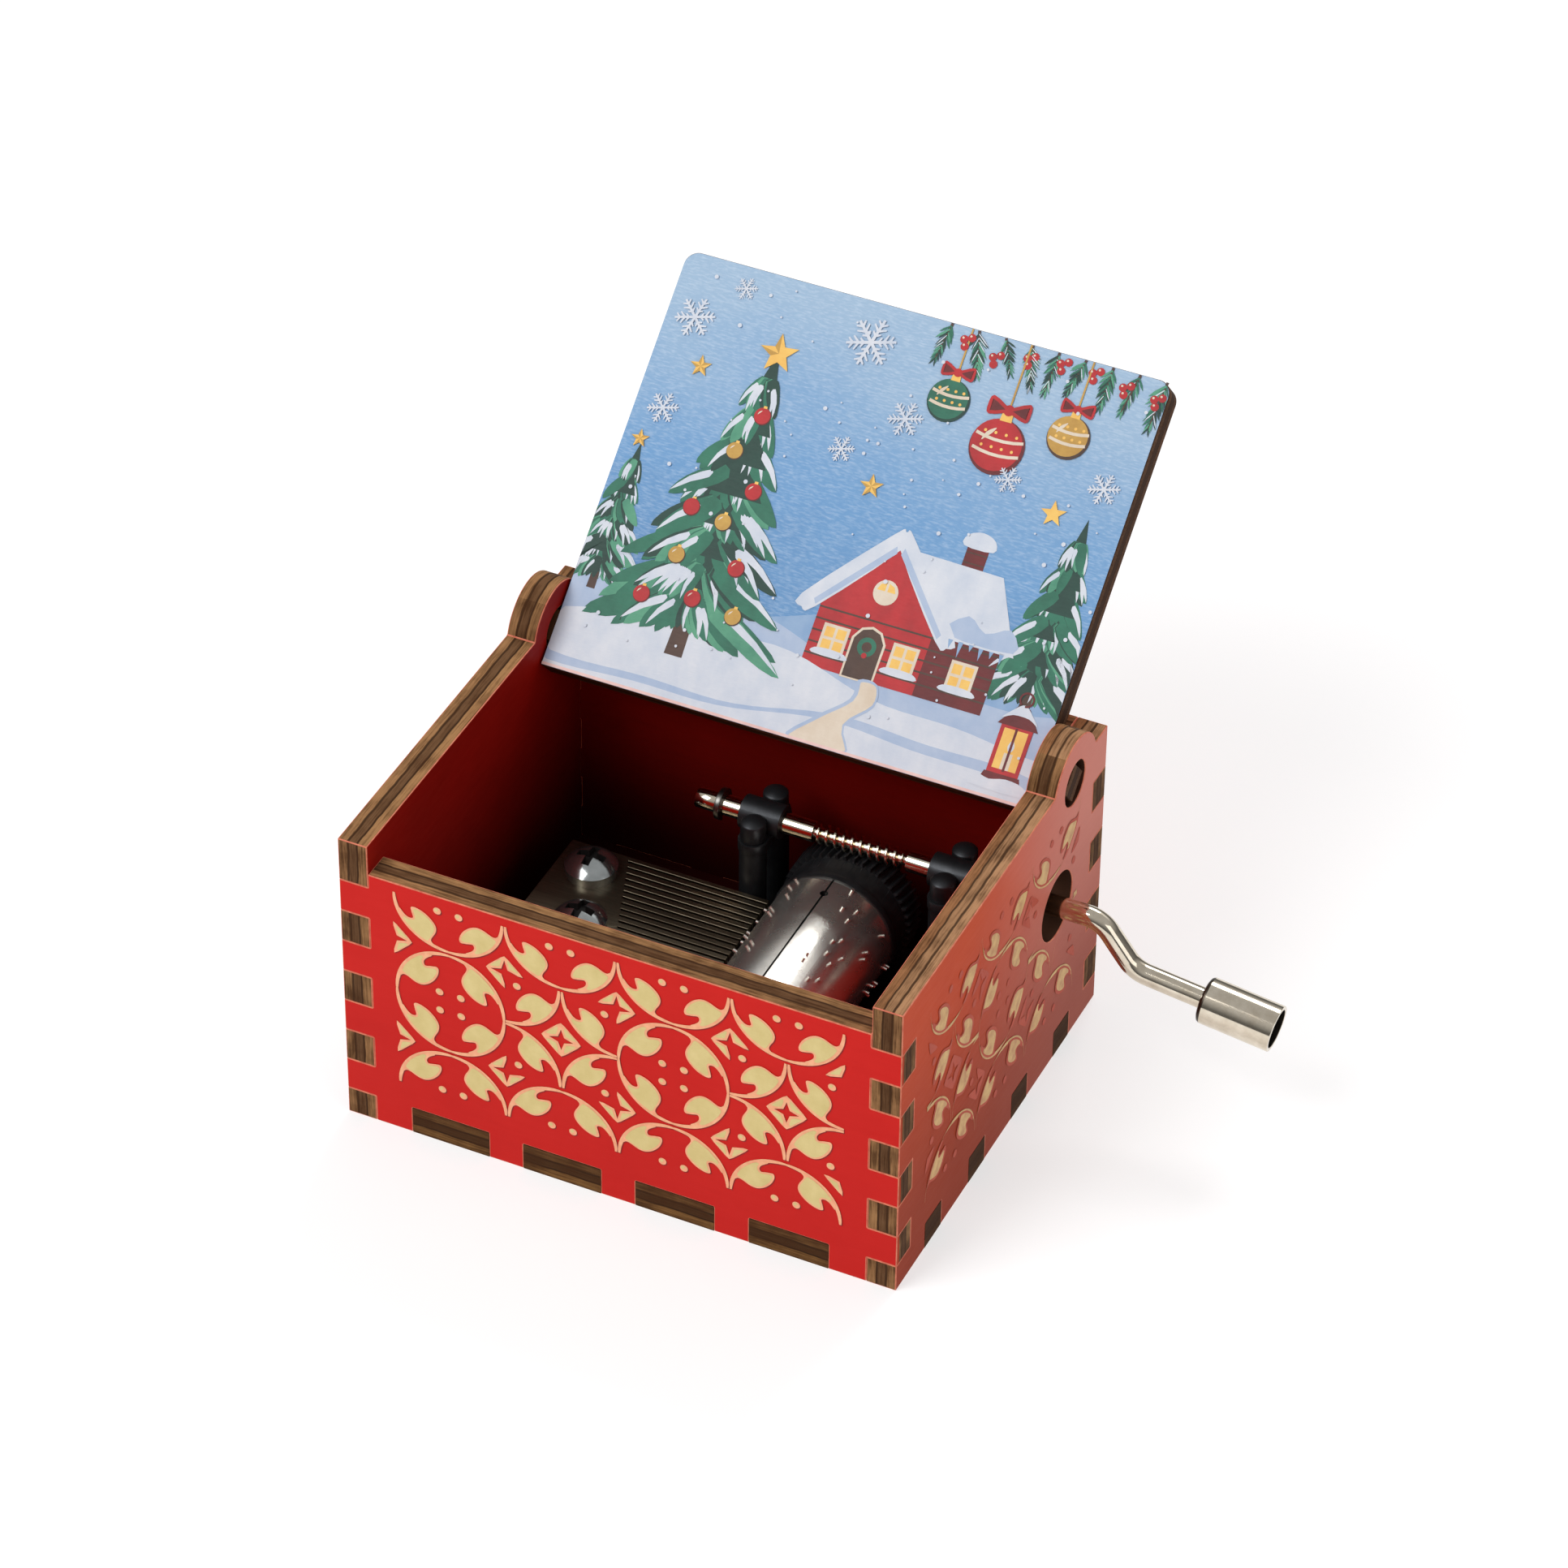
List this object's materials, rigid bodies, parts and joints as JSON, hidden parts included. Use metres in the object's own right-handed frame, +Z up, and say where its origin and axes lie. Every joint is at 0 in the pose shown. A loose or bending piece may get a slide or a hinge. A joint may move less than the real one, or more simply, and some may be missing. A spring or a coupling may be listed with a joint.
{
  "type": "hand-cranked music box",
  "caption": "Small finger-jointed plywood box with a hinged lid standing open on a pinned-drum music movement, turned by a bent wire crank at its right side.",
  "frame": {"origin": "centre of the base's underside", "axes": "+X to the crank side, +Y to the back where the lid hinges, +Z up"},
  "size_m": [0.0897, 0.0774, 0.0656],
  "materials": {
    "plywood": "painted red outside, browned cut edges",
    "lid_plywood": "printed face, browned cut edges",
    "cast": "dark satin casting",
    "comb_steel": "dark satin steel",
    "bright_steel": "bright nickel plate",
    "black_plastic": "satin black"
  },
  "bodies": {
    "case": {"front_panel": "plywood", "back_panel": "plywood", "left_panel": "plywood", "right_panel": "plywood", "base_panel": "plywood", "bedplate": "cast", "comb": "comb_steel", "comb_screws": "bright_steel", "bearing_left": "cast", "bearing_right": "cast", "bearing_rivets": "cast", "movement_screws": "bright_steel"},
    "lid": {"lid": "lid_plywood"},
    "crank": {"crank_shaft": "bright_steel", "shaft_clip": "comb_steel"},
    "drum": {"drum": "bright_steel", "drum_gear": "black_plastic", "drum_cap": "black_plastic", "drum_axle": "bright_steel"},
    "knob": {"crank_knob": "bright_steel"}
  },
  "joints": [
    {"name": "lid_hinge", "type": "hinge", "parent": "case", "child": "lid", "pos_m": [0, 0.0175, 0.0358], "axis": [1, 0, 0], "range_deg": [0, 139]},
    {"name": "crank_turn", "type": "hinge", "parent": "case", "child": "crank", "pos_m": [0, 0.014, 0.0217], "axis": [-1, 0, 0], "continuous": true},
    {"name": "drum_turn", "type": "hinge", "parent": "case", "child": "drum", "pos_m": [0.0083, 0, 0.01345], "axis": [0, 1, 0], "continuous": true},
    {"name": "knob_spin", "type": "hinge", "parent": "crank", "child": "knob", "pos_m": [0.04908, 0.014, 0.01526], "axis": [0.9914, 0, -0.1305], "continuous": true}
  ],
  "couplings": [
    {"joint": "crank_turn", "follows": "drum_turn", "ratio": 46}
  ]
}
